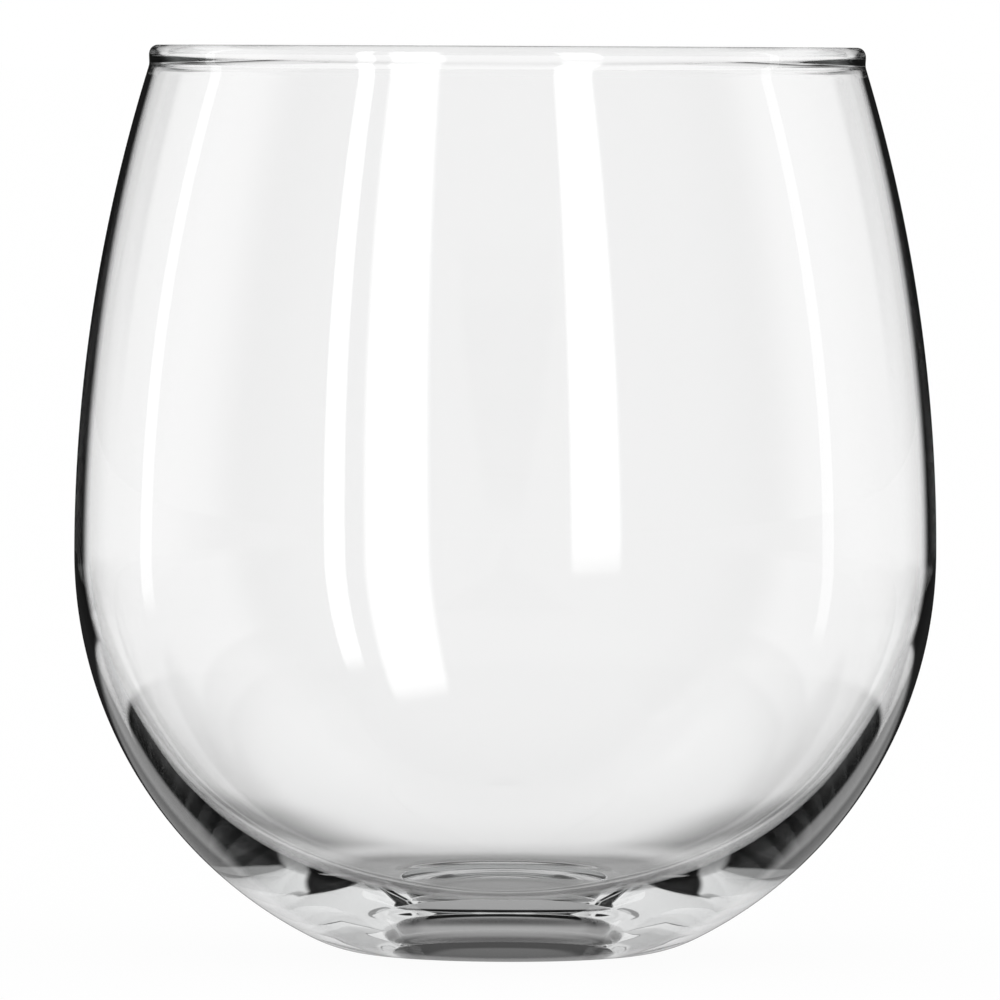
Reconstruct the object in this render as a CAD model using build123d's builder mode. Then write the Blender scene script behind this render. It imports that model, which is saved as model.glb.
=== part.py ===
from build123d import *
import os
from math import atan2, cos, radians, sin, sqrt

# A stemless wine glass: one piece of clear glass, from the foot that it stands on to the fire-polished rim.
# It stands on the plane z = 0, with its axis on +Z and the origin at the middle of its foot.
# Sizes are in millimetres.

# Outside of the bowl
belly_diameter = 99.0       # widest place of the bowl
rim_diameter = 80.2         # across the middle of the rim's bead
glass_height = 104.2        # from the table to the top of the rim

# Rim
bead_thickness = 2.0        # round bead that fire polishing leaves along the rim
neck_wall = 1.15            # thinnest wall, just below the bead
neck_drop = 1.7             # from the middle of the bead down along the wall to the neck

# Foot
foot_diameter = 28.4        # outer edge of the flat ring that the glass stands on
foot_rounding = 18.0        # radius that turns the flat ring up into the bowl
foot_ring_width = 1.4       # flat ring, from its outer edge in to the hollow under the foot
hollow_depth = 2.3
hollow_rounding = 1.5       # radius of the edge between the hollow and the flat ring

# Thickness of the glass from the belly down, measured towards the middle of the ball that the outside follows
belly_wall = 1.65           # at the widest place
lower_wall = 2.9            # a third of the way round from the belly to the bottom
heel_wall = 4.9             # two thirds of the way round
base_wall = 2.2             # on the axis, between the hollow and the floor of the bowl

belly_radius = belly_diameter / 2
foot_radius = foot_diameter / 2
hollow_radius = foot_radius - foot_ring_width
bead_radius = bead_thickness / 2

# The lower bowl is part of a ball. Its middle lies where the foot's rounding, tangent to the ball and to the
# table, ends on the outer edge of the flat ring.
foot_round_middle = Vector(foot_radius, foot_rounding)
ball_reach = belly_radius - foot_rounding
belly_height = foot_rounding + sqrt(ball_reach**2 - foot_radius**2)
ball_middle = Vector(0, belly_height)
foot_ring_edge = Vector(foot_radius, 0)
foot_round_end = ball_middle + (foot_round_middle - ball_middle).normalized() * belly_radius
hollow_edge = Vector(hollow_radius, 0)
hollow_top = Vector(0, hollow_depth)

# The upper wall leaves the belly straight up and leans in by the time it reaches the rim.
bead_middle = Vector(rim_diameter / 2, glass_height - bead_radius)
wall_middle_radius = belly_radius - belly_wall / 2
rim_lean = 2 * atan2(wall_middle_radius - bead_middle.X, bead_middle.Y - belly_height)
along_wall = Vector(-sin(rim_lean), cos(rim_lean))
across_wall = Vector(cos(rim_lean), sin(rim_lean))
neck_middle = bead_middle - along_wall * neck_drop
outer_neck = neck_middle + across_wall * neck_wall / 2
inner_neck = neck_middle - across_wall * neck_wall / 2
outer_bead = bead_middle + across_wall * bead_radius
inner_bead = bead_middle - across_wall * bead_radius
bead_crest = bead_middle + along_wall * bead_radius

# Points of the inside, from the belly down to the floor of the bowl
lower_turn = radians(30)
heel_turn = radians(60)
outer_belly = Vector(belly_radius, belly_height)
inner_belly = Vector(belly_radius - belly_wall, belly_height)
inner_lower = ball_middle + Vector(cos(lower_turn), -sin(lower_turn)) * (belly_radius - lower_wall)
inner_heel = ball_middle + Vector(cos(heel_turn), -sin(heel_turn)) * (belly_radius - heel_wall)
bowl_floor = hollow_top + Vector(0, base_wall)

straight_up = Vector(0, 1)
outwards = Vector(1, 0)

os.makedirs("parts", exist_ok=True)

# The whole glass, turned from half of its section
with BuildPart() as glass_bowl:
    with BuildSketch(Plane.XZ) as half_section:
        with BuildLine():
            # Outside: hollow under the foot, flat ring, rounding, ball, upper wall up to the neck
            TangentArc(hollow_top, hollow_edge, tangent=outwards)
            Line(hollow_edge, foot_ring_edge)
            TangentArc(foot_ring_edge, foot_round_end, tangent=outwards)
            TangentArc(outer_belly, foot_round_end, tangent=-straight_up)
            outer_wall = TangentArc(outer_belly, outer_neck, tangent=straight_up)
            # Bead, swelling out of the wall on both sides
            Spline(outer_wall @ 1, outer_bead, tangents=(outer_wall % 1, along_wall))
            ThreePointArc(outer_bead, bead_crest, inner_bead)
            inner_wall = TangentArc(inner_belly, inner_neck, tangent=straight_up)
            Spline(inner_wall @ 1, inner_bead, tangents=(inner_wall % 1, along_wall))
            # Inside: the wall thickens towards the heel and runs level over the axis
            Spline(inner_belly, inner_lower, inner_heel, bowl_floor, tangents=(-straight_up, -outwards))
            Line(bowl_floor, hollow_top)
        make_face()
        fillet(half_section.vertices().sort_by_distance(hollow_edge)[0], radius=hollow_rounding)
    revolve(axis=Axis.Z)

glass_bowl.part.label = "glass_bowl"
export_step(glass_bowl.part, "parts/glass_bowl.step")
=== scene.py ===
# A stemless wine glass, turned as one piece of clear glass, on a white table in front of a white backdrop.
# Everything is in metres, with +Z up and the middle of the glass's foot at the origin.

from math import atan2, cos, pi, radians, sin, sqrt, tan

import bpy
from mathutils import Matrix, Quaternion, Vector


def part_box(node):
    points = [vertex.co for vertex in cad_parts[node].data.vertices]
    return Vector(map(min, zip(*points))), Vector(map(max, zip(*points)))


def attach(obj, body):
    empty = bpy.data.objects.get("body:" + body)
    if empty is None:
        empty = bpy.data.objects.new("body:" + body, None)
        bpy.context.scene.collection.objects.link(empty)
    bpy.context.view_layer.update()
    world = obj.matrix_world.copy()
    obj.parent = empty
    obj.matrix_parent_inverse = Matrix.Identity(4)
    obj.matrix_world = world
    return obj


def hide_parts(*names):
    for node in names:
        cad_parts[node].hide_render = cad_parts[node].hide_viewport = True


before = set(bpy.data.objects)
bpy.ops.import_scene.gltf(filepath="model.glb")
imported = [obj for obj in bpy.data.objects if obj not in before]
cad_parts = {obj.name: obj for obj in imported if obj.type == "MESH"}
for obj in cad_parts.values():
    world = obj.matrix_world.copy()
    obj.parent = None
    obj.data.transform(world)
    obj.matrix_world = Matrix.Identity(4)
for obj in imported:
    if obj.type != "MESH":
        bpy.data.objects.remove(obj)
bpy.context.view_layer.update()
glass_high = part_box("glass_bowl")[1]

MM = 0.001

# Outside of the bowl
belly_radius = glass_high.x
glass_height = glass_high.z
rim_radius = 40.1 * MM          # to the middle of the bead along the rim

# Rim
bead_radius = 1.0 * MM
neck_wall = 1.15 * MM           # thinnest wall, just below the bead
neck_drop = 1.7 * MM            # from the middle of the bead down along the wall to the neck

# Foot
foot_radius = 14.2 * MM         # outer edge of the flat ring that the glass stands on
foot_rounding = 18.0 * MM
hollow_radius = 12.8 * MM       # hollow under the foot, inside the flat ring
hollow_depth = 2.3 * MM
hollow_rounding = 1.5 * MM

# Thickness of the glass at equal turns from the belly down to the axis
belly_wall = 1.65 * MM
lower_wall = 2.9 * MM
heel_wall = 4.9 * MM
base_wall = 2.2 * MM            # on the axis, between the hollow and the floor of the bowl

# Fineness of the turned mesh
turn_steps = 240
hollow_steps = 24
hollow_rounding_steps = 8
foot_rounding_steps = 30
ball_steps = 80
upper_wall_steps = 50
neck_steps = 10
bead_steps = 20
lower_wall_steps = 36           # for each of the three turns between the wall's given thicknesses
merge_distance = 0.001 * MM


def section_point(x, z):
    return Vector((x, 0, z))


def arc(middle, radius, start, end, steps):
    """Points of a round stretch of the section, from one angle to the other."""
    turn = (end - start) / steps
    angles = [start + turn * k for k in range(steps + 1)]
    return [middle + section_point(cos(angle), sin(angle)) * radius for angle in angles]


def cubic(share, start, start_slope, end, end_slope):
    """Smooth way from start to end, leaving and arriving at the given slopes."""
    rest = 1 - share
    leave = start * (1 + 2 * share) * rest**2 + start_slope * share * rest**2
    arrive = end * (3 - 2 * share) * share**2 - end_slope * rest * share**2
    return leave + arrive


def swelling(start, start_way, end, end_way):
    """Points between the thin neck and the bead, smooth at both ends."""
    reach = (end - start).length
    shares = [k / neck_steps for k in range(neck_steps + 1)]
    return [cubic(share, start, start_way * reach, end, end_way * reach) for share in shares]


def upper_wall(belly, neck):
    """The arc that leaves the belly straight up and ends at the neck, and its direction there."""
    lean = 2 * atan2(belly.x - neck.x, neck.z - belly.z)
    radius = (neck.z - belly.z) / sin(lean)
    points = arc(belly - section_point(radius, 0), radius, 0, lean, upper_wall_steps)
    return points, section_point(-sin(lean), cos(lean))


def foot_section():
    """From the axis under the foot, over the hollow's rounded edge, out to the edge of the flat ring."""
    dome_radius = (hollow_radius**2 + hollow_depth**2) / (2 * hollow_depth)
    dome_middle = section_point(0, hollow_depth - dome_radius)
    edge_reach = sqrt((dome_radius + hollow_rounding)**2 - (hollow_rounding - dome_middle.z)**2)
    edge_middle = section_point(edge_reach, hollow_rounding)
    edge_way = atan2(edge_middle.z - dome_middle.z, edge_middle.x)
    dome = arc(dome_middle, dome_radius, pi / 2, edge_way, hollow_steps)
    edge = arc(edge_middle, hollow_rounding, pi + edge_way, 3 * pi / 2, hollow_rounding_steps)
    return dome + edge


def lower_inside(ball_middle):
    """From the belly down to the axis, along the thickening wall."""
    axis_wall = belly_radius - ball_middle.z + hollow_depth + base_wall
    walls = [belly_wall, lower_wall, heel_wall, axis_wall]
    inner_slopes = [(after - before) / 2 for before, after in zip(walls, walls[2:])]
    slopes = [0, *inner_slopes, 0]
    turn = pi / 2 / (len(walls) - 1)
    points = []
    for k in range(len(walls) - 1):
        for step in range(1, lower_wall_steps + 1):
            share = step / lower_wall_steps
            wall = cubic(share, walls[k], slopes[k], walls[k + 1], slopes[k + 1])
            angle = -(k + share) * turn
            points.append(ball_middle + section_point(cos(angle), sin(angle)) * (belly_radius - wall))
    return points


def glass_section():
    """Half of the glass's section, from the axis under the foot round to the axis on the bowl's floor."""
    belly_height = foot_rounding + sqrt((belly_radius - foot_rounding)**2 - foot_radius**2)
    ball_middle = section_point(0, belly_height)
    foot_round_middle = section_point(foot_radius, foot_rounding)
    ball_start = atan2(foot_rounding - belly_height, foot_radius)

    # The rim leans in as the arc in the middle of the wall does
    bead_middle = section_point(rim_radius, glass_height - bead_radius)
    wall_middle = belly_radius - belly_wall / 2
    rim_lean = 2 * atan2(wall_middle - bead_middle.x, bead_middle.z - belly_height)
    along_wall = section_point(-sin(rim_lean), cos(rim_lean))
    across_wall = section_point(cos(rim_lean), sin(rim_lean))
    neck_middle = bead_middle - along_wall * neck_drop
    outer_belly = section_point(belly_radius, belly_height)
    inner_belly = section_point(belly_radius - belly_wall, belly_height)
    outer_wall, outer_way = upper_wall(outer_belly, neck_middle + across_wall * neck_wall / 2)
    inner_wall, inner_way = upper_wall(inner_belly, neck_middle - across_wall * neck_wall / 2)
    bead = arc(bead_middle, bead_radius, rim_lean, rim_lean + pi, bead_steps)

    points = foot_section()
    points += arc(foot_round_middle, foot_rounding, -pi / 2, ball_start, foot_rounding_steps)
    points += arc(ball_middle, belly_radius, ball_start, 0, ball_steps)
    points += outer_wall
    points += swelling(outer_wall[-1], outer_way, bead[0], along_wall)
    points += bead
    points += swelling(bead[-1], -along_wall, inner_wall[-1], -inner_way)
    points += reversed(inner_wall)
    points += lower_inside(ball_middle)

    # Where two stretches meet, their shared point is kept once
    section = points[:1]
    for point in points[1:]:
        if (point - section[-1]).length > merge_distance:
            section.append(point)
    return section


def turned_glass():
    """The section, drawn by extruding one point along it, spun once round the axis."""
    section = glass_section()
    bpy.ops.object.select_all(action="DESELECT")
    bpy.ops.mesh.primitive_plane_add(size=belly_radius)
    glass = bpy.context.object
    glass.name = "turned_glass_bowl"
    bpy.ops.object.mode_set(mode="EDIT")
    bpy.ops.mesh.select_all(action="SELECT")
    bpy.ops.mesh.merge(type="CENTER")
    bpy.ops.transform.translate(value=section[0])
    for here, there in zip(section, section[1:]):
        bpy.ops.mesh.extrude_region_move(TRANSFORM_OT_translate={"value": there - here})
    bpy.ops.mesh.select_all(action="SELECT")
    bpy.ops.mesh.spin(steps=turn_steps, angle=2 * pi, center=(0, 0, 0), axis=(0, 0, 1))
    bpy.ops.mesh.select_all(action="SELECT")
    bpy.ops.mesh.remove_doubles(threshold=merge_distance)
    bpy.ops.mesh.normals_make_consistent(inside=False)
    bpy.ops.object.mode_set(mode="OBJECT")
    bpy.ops.object.shade_smooth()
    return glass


# Materials

def new_material(name):
    """An empty node material, with its output node."""
    material = bpy.data.materials.new(name)
    material.use_nodes = True
    nodes = material.node_tree.nodes
    nodes.clear()
    output = nodes.new("ShaderNodeOutputMaterial")
    return material, nodes, material.node_tree.links, output


def feed(links, socket, value):
    """Gives an input a number or another node's output."""
    if isinstance(value, (int, float)):
        socket.default_value = value
    else:
        links.new(value, socket)


def math_node(nodes, links, operation, *values):
    """A math node whose inputs are numbers or other nodes' outputs."""
    node = nodes.new("ShaderNodeMath")
    node.operation = operation
    for socket, value in zip(node.inputs, values):
        feed(links, socket, value)
    return node.outputs["Value"]


def product(nodes, links, first, *others):
    """All the values multiplied."""
    for other in others:
        first = math_node(nodes, links, "MULTIPLY", first, other)
    return first


def mix_node(nodes, links, share, first, second):
    """The first value where the share is 0, the second where it is 1."""
    node = nodes.new("ShaderNodeMix")
    feed(links, node.inputs["Factor"], share)
    feed(links, node.inputs["A"], first)
    feed(links, node.inputs["B"], second)
    return node.outputs["Result"]


def ramp_node(nodes, links, value, start, end, low=0.0, high=1.0):
    """A smooth step from low to high while the value goes from start to end."""
    node = nodes.new("ShaderNodeMapRange")
    node.interpolation_type = "SMOOTHSTEP"
    links.new(value, node.inputs["Value"])
    node.inputs["From Min"].default_value = start
    node.inputs["From Max"].default_value = end
    node.inputs["To Min"].default_value = low
    node.inputs["To Max"].default_value = high
    return node.outputs["Result"]


def clear_glass():
    """Colourless glass with the faint unevenness that blowing and fire polishing leave."""
    material, nodes, links, output = new_material("clear_glass")
    place = nodes.new("ShaderNodeTexCoord")
    waves = nodes.new("ShaderNodeTexNoise")
    waves.inputs["Scale"].default_value = glass_wave_scale
    waves.inputs["Detail"].default_value = 1
    links.new(place.outputs["Object"], waves.inputs["Vector"])
    bump = nodes.new("ShaderNodeBump")
    bump.inputs["Strength"].default_value = 1
    bump.inputs["Distance"].default_value = glass_wave_height
    links.new(waves.outputs["Fac"], bump.inputs["Height"])
    surface = nodes.new("ShaderNodeBsdfPrincipled")
    surface.inputs["Base Color"].default_value = (1, 1, 1, 1)
    surface.inputs["Roughness"].default_value = 0
    surface.inputs["IOR"].default_value = glass_bending
    surface.inputs["Transmission Weight"].default_value = 1
    links.new(bump.outputs["Normal"], surface.inputs["Normal"])
    tint = nodes.new("ShaderNodeVolumeAbsorption")
    tint.inputs["Color"].default_value = glass_tint
    tint.inputs["Density"].default_value = glass_tint_density
    links.new(surface.outputs["BSDF"], output.inputs["Surface"])
    links.new(tint.outputs["Volume"], output.inputs["Volume"])
    return material


def strip_light(name, strength, side_fade, end_fade):
    """A strip lamp whose light fades towards its sides and its lower end."""
    material, nodes, links, output = new_material(name)
    place = nodes.new("ShaderNodeTexCoord")
    split = nodes.new("ShaderNodeSeparateXYZ")
    links.new(place.outputs["UV"], split.inputs["Vector"])
    left = ramp_node(nodes, links, split.outputs["X"], 0, side_fade)
    right = ramp_node(nodes, links, split.outputs["X"], 1, 1 - side_fade)
    foot = ramp_node(nodes, links, split.outputs["Y"], 0, end_fade)
    across = math_node(nodes, links, "MULTIPLY", left, right)
    shape = math_node(nodes, links, "MULTIPLY", across, foot)
    emission = nodes.new("ShaderNodeEmission")
    links.new(math_node(nodes, links, "MULTIPLY", shape, strength), emission.inputs["Strength"])
    clear = nodes.new("ShaderNodeBsdfTransparent")
    both = nodes.new("ShaderNodeAddShader")
    links.new(emission.outputs["Emission"], both.inputs[0])
    links.new(clear.outputs["BSDF"], both.inputs[1])
    links.new(both.outputs["Shader"], output.inputs["Surface"])
    return material


def more_turns(nodes, links, path, count):
    """1 for light that turned round inside the glass at least so many times, 0 for other light."""
    return math_node(nodes, links, "GREATER_THAN", path.outputs["Glossy Depth"], count - half_step)


def through_bowl(nodes, links, path):
    """1 for light that passed both of the bowl's walls, 0 for light that stayed in one."""
    passes = path.outputs["Transmission Depth"]
    return math_node(nodes, links, "GREATER_THAN", passes, bowl_surfaces - half_step)


def trapped(nodes, links, path, value):
    """The value, or, for light that turned round very often, the little light that is left."""
    left = mix_node(nodes, links, through_bowl(nodes, links, path), room_dark, trapped_light)
    return mix_node(nodes, links, more_turns(nodes, links, path, trapped_turns), value, left)


def white_table():
    """White table with the glass's shadow, and painted shade under and beside the foot. Light that turned
    round inside the glass sees less of it lit, through painted shade and painted light.
    """
    material, nodes, links, output = new_material("white_table")
    path = nodes.new("ShaderNodeLightPath")
    place = nodes.new("ShaderNodeTexCoord")
    reach = nodes.new("ShaderNodeVectorMath")
    reach.operation = "LENGTH"
    links.new(place.outputs["Object"], reach.inputs[0])
    distance = reach.outputs["Value"]
    split = nodes.new("ShaderNodeSeparateXYZ")
    links.new(place.outputs["Object"], split.inputs["Vector"])
    depth = math_node(nodes, links, "DIVIDE", split.outputs["Y"], distance)
    beyond_foot = ramp_node(nodes, links, distance, *foot_shade_edge)

    # Lit table: paint with the glass's shadow, mixed with the plain white of the backdrop; less white under
    # the foot paints a shade there
    paint = nodes.new("ShaderNodeBsdfDiffuse")
    paint.inputs["Color"].default_value = table_paint
    white = nodes.new("ShaderNodeEmission")
    white.inputs["Strength"].default_value = 1
    through_white = mix_node(nodes, links, beyond_foot, foot_shade_white, table_white)
    through = product(nodes, links, path.outputs["Is Transmission Ray"], through_white)
    camera_ray = path.outputs["Is Camera Ray"]
    seen_white = math_node(nodes, links, "MULTIPLY_ADD", camera_ray, camera_white, through)
    lit = nodes.new("ShaderNodeMixShader")
    links.new(seen_white, lit.inputs["Fac"])
    links.new(paint.outputs["BSDF"], lit.inputs[1])
    links.new(white.outputs["Emission"], lit.inputs[2])

    # Light that turned round inside the glass finds a painted shadow of the glass, painted light under the
    # foot's edge and hollow, a dark path behind it and a dim front
    sideways = math_node(nodes, links, "ABSOLUTE", split.outputs["X"])
    past_edge = math_node(nodes, links, "SUBTRACT", sideways, belly_radius)
    backwards = math_node(nodes, links, "MAXIMUM", split.outputs["Y"], MM)
    slant = math_node(nodes, links, "DIVIDE", past_edge, backwards)
    in_pool = ramp_node(nodes, links, distance, *light_pool_edge, 1, 0)
    far_end = ramp_node(nodes, links, distance, *far_table)
    far_end = product(nodes, links, far_end, through_bowl(nodes, links, path))
    off_path = ramp_node(nodes, links, slant, *dark_path_end)
    near = ramp_node(nodes, links, distance, *near_table, 1, 0)
    near = product(nodes, links, near, more_turns(nodes, links, path, dim_path_turns))
    for lit_share in (in_pool, far_end, near, more_turns(nodes, links, path, low_backdrop_turns)):
        off_path = math_node(nodes, links, "MAXIMUM", off_path, lit_share)
    far = product(nodes, links, ramp_node(nodes, links, depth, *behind_edge, front_light, 1), off_path)
    # Painted shadow of the glass, out to a little beyond its belly
    past_shadow = product(nodes, links, far, ramp_node(nodes, links, distance, *glass_shadow_edge))
    # Painted shade under the foot, with painted light under its edge and under its hollow
    under_edge = ramp_node(nodes, links, distance, *foot_edge_painted_light, turned_foot_shade, 1)
    under_hollow = ramp_node(nodes, links, distance, *hollow_painted_light_edge, hollow_painted_light, 0)
    under_edge = math_node(nodes, links, "ADD", under_edge, under_hollow)
    past_glow = ramp_node(nodes, links, distance, *foot_edge_painted_light_end)
    once = mix_node(nodes, links, past_glow, under_edge, past_shadow)
    # Painted shade under the front of the foot, for light that turned round more than once
    under_front = ramp_node(nodes, links, split.outputs["Y"], *foot_front_edge, 1, room_dark)
    far_share = mix_node(nodes, links, more_turns(nodes, links, path, narrow_turns), 1, far_dim)
    often = mix_node(nodes, links, beyond_foot, under_front, product(nodes, links, far, far_share))
    turned_lit = mix_node(nodes, links, more_turns(nodes, links, path, often_turns), once, often)
    turned_lit = trapped(nodes, links, path, turned_lit)
    unlit = math_node(nodes, links, "SUBTRACT", 1.0, turned_lit)

    # Painted shade to the left and right of the foot, which shows through the glass in flat views of the
    # table
    view = nodes.new("ShaderNodeLayerWeight")
    flat_view = ramp_node(nodes, links, view.outputs["Facing"], *side_shade_view, 1, 0)
    aside = math_node(nodes, links, "DIVIDE", sideways, distance)
    shaded_side = ramp_node(nodes, links, aside, *side_shade_start, 0, side_shade_depth)
    beside_foot = ramp_node(nodes, links, distance, *side_shade_end, 1, 0)
    painted_side_shade = product(nodes, links, shaded_side, beside_foot, beyond_foot, flat_view)
    painted_side_shade = product(nodes, links, painted_side_shade, path.outputs["Is Transmission Ray"])

    black = nodes.new("ShaderNodeEmission")
    black.inputs["Strength"].default_value = 0
    dark = mix_node(nodes, links, more_turns(nodes, links, path, any_turn), painted_side_shade, unlit)
    ground = nodes.new("ShaderNodeMixShader")
    links.new(dark, ground.inputs["Fac"])
    links.new(lit.outputs["Shader"], ground.inputs[1])
    links.new(black.outputs["Emission"], ground.inputs[2])
    links.new(ground.outputs["Shader"], output.inputs["Surface"])
    return material


# Stage

def stage_piece(name, material):
    """Names the active object and gives it its material."""
    obj = bpy.context.object
    obj.name = name
    obj.data.materials.append(material)
    return obj


def upright_card(name, material, start, end, low, high, lean):
    """A leaning card between two places on the table and two heights, seen in reflections alone."""
    along = Vector(end) - Vector(start)
    middle = (Vector(start) + Vector(end)) / 2
    bpy.ops.object.select_all(action="DESELECT")
    bpy.ops.mesh.primitive_plane_add(size=1, location=(middle.x, middle.y, (low + high) / 2))
    card = stage_piece(name, material)
    card.visible_camera = False
    card.visible_diffuse = False
    card.visible_transmission = False
    card.visible_shadow = False
    card.visible_volume_scatter = False
    card.scale = (along.length, high - low, 1)
    turn = Quaternion((0, 0, 1), atan2(along.y, along.x))
    upright = Quaternion((1, 0, 0), pi / 2)
    card.rotation_mode = "QUATERNION"
    card.rotation_quaternion = turn @ upright @ Quaternion((0, 0, 1), lean)
    return card


def place_table():
    """The table under the glass. In reflections the room's own dark table shows instead."""
    bpy.ops.object.select_all(action="DESELECT")
    bpy.ops.mesh.primitive_plane_add(size=table_size)
    table = stage_piece("table", white_table())
    table.visible_glossy = False


def place_strip_lights():
    """Strip lamps in front of the glass, each given by its range of directions as seen from the glass."""
    for name, left, right, lowest, lean, strength in strip_lights:
        lamp = strip_light(name + "_light", strength, strip_side_fade, strip_end_fade)
        ends = []
        for angle in (radians(left), radians(right)):
            ends.append((strip_distance * sin(angle), -strip_distance * cos(angle)))
        low = strip_level + strip_distance * tan(radians(lowest))
        high = strip_level + strip_distance * tan(radians(strip_highest))
        upright_card(name, lamp, ends[0], ends[1], low, high, radians(lean))


def light_room():
    """White all round, but dark in reflections and for light that turned round inside the glass."""
    world = bpy.data.worlds.new("white_room")
    bpy.context.scene.world = world
    world.use_nodes = True
    nodes = world.node_tree.nodes
    links = world.node_tree.links
    background = nodes["Background"]
    background.inputs["Color"].default_value = (1, 1, 1, 1)
    place = nodes.new("ShaderNodeTexCoord")
    split = nodes.new("ShaderNodeSeparateXYZ")
    links.new(place.outputs["Generated"], split.inputs["Vector"])
    sideways = math_node(nodes, links, "ABSOLUTE", split.outputs["X"])
    depth = split.outputs["Y"]
    rise = split.outputs["Z"]

    # Room for light that turned round once: low backdrop behind the glass, higher at the sides
    path = nodes.new("ShaderNodeLightPath")
    backwards = math_node(nodes, links, "MAXIMUM", depth, MM)
    slant = math_node(nodes, links, "DIVIDE", sideways, backwards)
    raised_slant = math_node(nodes, links, "MULTIPLY_ADD", rise, dark_path_narrowing, slant)
    later = mix_node(nodes, links, more_turns(nodes, links, path, lit_path_turns), dim_path, 1)
    later = product(nodes, links, later, more_turns(nodes, links, path, dim_path_turns))
    horizon = ramp_node(nodes, links, rise, *horizon_top, horizon_light, 0)
    horizon = product(nodes, links, horizon, through_bowl(nodes, links, path))
    off_path = ramp_node(nodes, links, raised_slant, *dark_path_end)
    for lit_share in (later, horizon):
        off_path = math_node(nodes, links, "MAXIMUM", off_path, lit_share)
    behind = ramp_node(nodes, links, depth, *backdrop_side)
    low = ramp_node(nodes, links, rise, *low_backdrop_top, 1, 0)
    high = ramp_node(nodes, links, rise, *backdrop_top, 1, 0)
    height = mix_node(nodes, links, ramp_node(nodes, links, slant, *high_backdrop_start), low, high)
    backdrop = product(nodes, links, height, off_path)
    ceiling = ramp_node(nodes, links, rise, *ceiling_start)
    once = product(nodes, links, behind, math_node(nodes, links, "MAXIMUM", backdrop, ceiling))

    # Rooms for light that turned round more often: the backdrop is lower, has gaps or is narrower
    width = ramp_node(nodes, links, slant, *backdrop_end, 1, 0)
    narrow_width = ramp_node(nodes, links, slant, *narrow_backdrop_end, 1, 0)
    middle = ramp_node(nodes, links, slant, *gap_near_edge, 1, 0)
    beyond_gap = ramp_node(nodes, links, slant, *gap_far_edge)
    over_gap = ramp_node(nodes, links, rise, *gap_top)
    off_gap = math_node(nodes, links, "MAXIMUM", middle, beyond_gap)
    off_gap = math_node(nodes, links, "MAXIMUM", off_gap, over_gap)
    often = product(nodes, links, width, high, off_path)
    raised = math_node(nodes, links, "MAXIMUM", low, product(nodes, links, middle, high, middle_light))
    low_room = product(nodes, links, width, raised)
    often = mix_node(nodes, links, more_turns(nodes, links, path, low_backdrop_turns), often, low_room)
    gap_room = product(nodes, links, behind, high, off_gap)
    often = mix_node(nodes, links, more_turns(nodes, links, path, gap_turns), often, gap_room)
    side_band = ramp_node(nodes, links, rise, *side_band_top, side_band_light, 0)
    narrow = math_node(nodes, links, "MAXIMUM", product(nodes, links, narrow_width, high), side_band)
    narrow_room = product(nodes, links, behind, narrow)
    often = mix_node(nodes, links, more_turns(nodes, links, path, narrow_turns), often, narrow_room)
    in_column = ramp_node(nodes, links, slant, *column_end, 1, 0)
    column_top = ramp_node(nodes, links, rise, *column_top_edge, 1, 0)
    column = product(nodes, links, in_column, math_node(nodes, links, "SUBTRACT", column_top, high))
    often = math_node(nodes, links, "MULTIPLY_ADD", column, column_light, often)

    # Rooms for all light that turned round, and for light that the glass reflects
    turned = mix_node(nodes, links, more_turns(nodes, links, path, often_turns), once, often)
    front = ramp_node(nodes, links, depth, *front_edge)
    turned_room = math_node(nodes, links, "MULTIPLY_ADD", turned, backdrop_light, room_dark)
    turned_room = math_node(nodes, links, "MULTIPLY_ADD", front, front_light, turned_room)
    turned_room = trapped(nodes, links, path, turned_room)
    side_reflected = ramp_node(nodes, links, slant, *reflected_side_edge, room_dark, side_light)
    patch = product(
        nodes, links,
        ramp_node(nodes, links, rise, *reflected_table_top),
        ramp_node(nodes, links, slant, *reflected_patch_start, reflected_middle, reflected_patch),
        ramp_node(nodes, links, slant, *reflected_patch_end, 1, 0),
    )
    behind_reflected = math_node(nodes, links, "ADD", side_reflected, patch)
    above_dark = ramp_node(nodes, links, rise, *reflected_dark_top)
    behind_reflected = product(nodes, links, behind_reflected, above_dark)
    in_front = ramp_node(nodes, links, depth, *reflected_front_edge)
    reflected_room = mix_node(nodes, links, in_front, behind_reflected, front_light)

    # Only light that has met the glass sees the darker rooms
    through = path.outputs["Is Transmission Ray"]
    turned_through = product(nodes, links, more_turns(nodes, links, path, any_turn), through)
    not_through = math_node(nodes, links, "SUBTRACT", 1.0, through)
    reflected = product(nodes, links, path.outputs["Is Glossy Ray"], not_through)
    seen_room = mix_node(nodes, links, turned_through, 1, turned_room)
    seen_room = mix_node(nodes, links, reflected, seen_room, reflected_room)
    links.new(seen_room, background.inputs["Strength"])


def place_camera():
    """The photograph's view: level with the rim, a little turned about the line of sight."""
    place = Vector((0, -camera_distance, camera_height))
    aim = Vector((0, 0, glass_height / 2))
    sight = aim - place
    data = bpy.data.cameras.new("camera")
    data.sensor_width = sensor_width
    data.lens = data.sensor_width * sight.length / view_width
    data.shift_x = view_shift_x
    data.shift_y = view_shift_y
    camera = bpy.data.objects.new("camera", data)
    camera.location = place
    camera.rotation_mode = "QUATERNION"
    camera.rotation_quaternion = sight.to_track_quat("-Z", "Y") @ Quaternion((0, 0, 1), view_roll)
    bpy.context.collection.objects.link(camera)
    bpy.context.scene.camera = camera


# Camera
camera_distance = 1.45
camera_height = 0.103
sensor_width = 36               # in millimetres, as a camera gives it
view_width = 114.88 * MM        # width of the picture at the glass's axis
view_shift_x = -0.0055
view_shift_y = 0.0
view_roll = 0.0045

# Glass
glass_bending = 1.5             # index of refraction
glass_tint = (0.90, 0.94, 0.935, 1)
glass_tint_density = 3
glass_wave_scale = 28
glass_wave_height = 0.008 * MM

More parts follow.
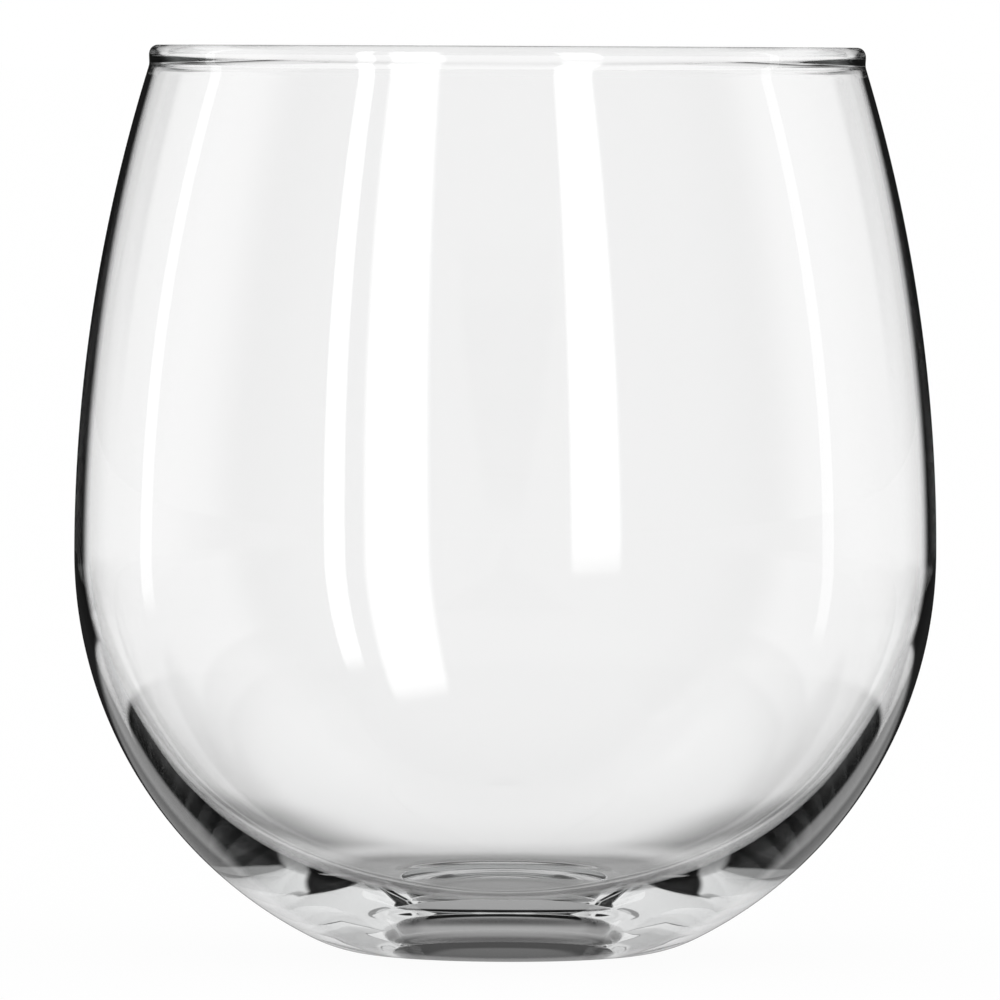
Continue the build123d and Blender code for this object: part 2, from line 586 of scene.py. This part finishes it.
# How often light turned round inside the glass, for each of the rooms that it then sees
any_turn = 1
often_turns = 2
dim_path_turns = 5
lit_path_turns = 7
low_backdrop_turns = 9
gap_turns = 11
narrow_turns = 13
trapped_turns = 15
bowl_surfaces = 4               # surfaces that light crosses through both walls of the bowl
half_step = 0.5                 # counts are compared half way between whole numbers

# Table. A pair of values is where a soft edge starts and where it ends.
table_size = 200
table_paint = (0.95, 0.95, 0.95, 1)
camera_white = 0.965            # share of plain white in the table as the eye sees it
table_white = 0.78              # the same, seen through the glass
foot_shade_white = 0.4                # the same under the foot, lower to paint the shade there
turned_foot_shade = 0.22              # share of that for light that turned round once: painted shade under the foot, inside its lit edge
hollow_painted_light = 0.23              # painted light added to it under the hollow of the foot
# Painted shade beside the foot, seen flat through the glass
side_shade_view = (1 - sin(radians(21.5)), 1 - sin(radians(25)))
side_shade_start = (0.35, 0.88)
side_shade_end = (48 * MM, 68 * MM)
side_shade_depth = 0.6          # how much darker the table is there
foot_shade_edge = (18 * MM, 25 * MM)
# Painted light under the hollow and under the edge of the foot
hollow_painted_light_edge = (9.8 * MM, 10.8 * MM)
foot_edge_painted_light = (14 * MM, 16.5 * MM)
foot_edge_painted_light_end = (17.3 * MM, 18.8 * MM)
foot_front_edge = (-5.8 * MM, -4.3 * MM)
glass_shadow_edge = (90 * MM, 97 * MM)
light_pool_edge = (160 * MM, 175 * MM)
near_table = (350 * MM, 480 * MM)
far_table = (400 * MM, 800 * MM)
behind_edge = (cos(radians(100)), cos(radians(60)))

# Room, by slants off straight back and by heights
dark_path_end = (tan(radians(20)), tan(radians(28)))
dark_path_narrowing = 1.2       # how much sooner the path ends higher up
backdrop_side = (cos(radians(105)), cos(radians(90)))
backdrop_end = (tan(radians(66)), tan(radians(72)))
narrow_backdrop_end = (tan(radians(58)), tan(radians(64)))
gap_near_edge = (tan(radians(14)), tan(radians(19)))
gap_far_edge = (tan(radians(40)), tan(radians(45)))
gap_top = (sin(radians(17)), sin(radians(21)))
side_band_top = (sin(radians(4.5)), sin(radians(6.5)))
horizon_top = (sin(radians(7)), sin(radians(11)))
high_backdrop_start = (tan(radians(45)), tan(radians(56)))
low_backdrop_top = (sin(radians(13)), sin(radians(16)))
backdrop_top = (sin(radians(24)), sin(radians(26)))
ceiling_start = (sin(radians(24)), sin(radians(40)))
column_end = (tan(radians(13)), tan(radians(16)))
column_top_edge = (sin(radians(46)), sin(radians(52)))
front_edge = (-0.3, -0.6)
reflected_front_edge = (0.1, -0.3)
reflected_side_edge = (tan(radians(35)), tan(radians(48)))
reflected_table_top = (sin(radians(-7.5)), sin(radians(-10)))
reflected_dark_top = (sin(radians(-32)), sin(radians(-24)))
reflected_patch_start = (tan(radians(19)), tan(radians(24)))
reflected_patch_end = (tan(radians(30)), tan(radians(33.5)))
reflected_middle = 0.35
reflected_patch = 0.85
room_dark = 0.015
backdrop_light = 0.85
column_light = 0.9              # white column above the backdrop
side_light = 0.4                # reflected sides of the room
front_light = 0.25              # room on the camera's side
horizon_light = 0.4             # dark path near the horizon, seen through the bowl
trapped_light = 0.45            # light left after very many turns in the base
side_band_light = 0.4           # low band at the sides
middle_light = 0.4              # middle of the backdrop above its low top
dim_path = 0.7                  # dark path for light that turned round five or six times
far_dim = 0.2                   # far table for light that turned round very often

# Strip lamps: name, left, right and lower end in degrees, lean in degrees, brightness
strip_lights = [
    ("far_left_strip", -112, -106, -12, 0, 1.3),
    ("narrow_left_strip", -48.5, -42, -29, 5, 4.0),
    ("wide_left_strip", -37.5, -18.5, -37, 5, 4.0),
    ("right_strip", 15.5, 30, -5, 2, 4.0),
    ("far_right_strip", 91, 96, -18, 0, 1.3),
]
strip_highest = 35
strip_distance = 1.0
strip_level = 0.05
strip_side_fade = 0.12
strip_end_fade = 0.12

light_bounces = 96

glass = turned_glass()
glass.data.materials.append(clear_glass())
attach(glass, "root")
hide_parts("glass_bowl")

place_table()
place_strip_lights()
light_room()
place_camera()

scene = bpy.context.scene
scene.view_settings.view_transform = "Standard"
scene.cycles.max_bounces = light_bounces
scene.cycles.transmission_bounces = light_bounces
scene.cycles.glossy_bounces = light_bounces
scene.cycles.caustics_refractive = False
scene.cycles.caustics_reflective = False
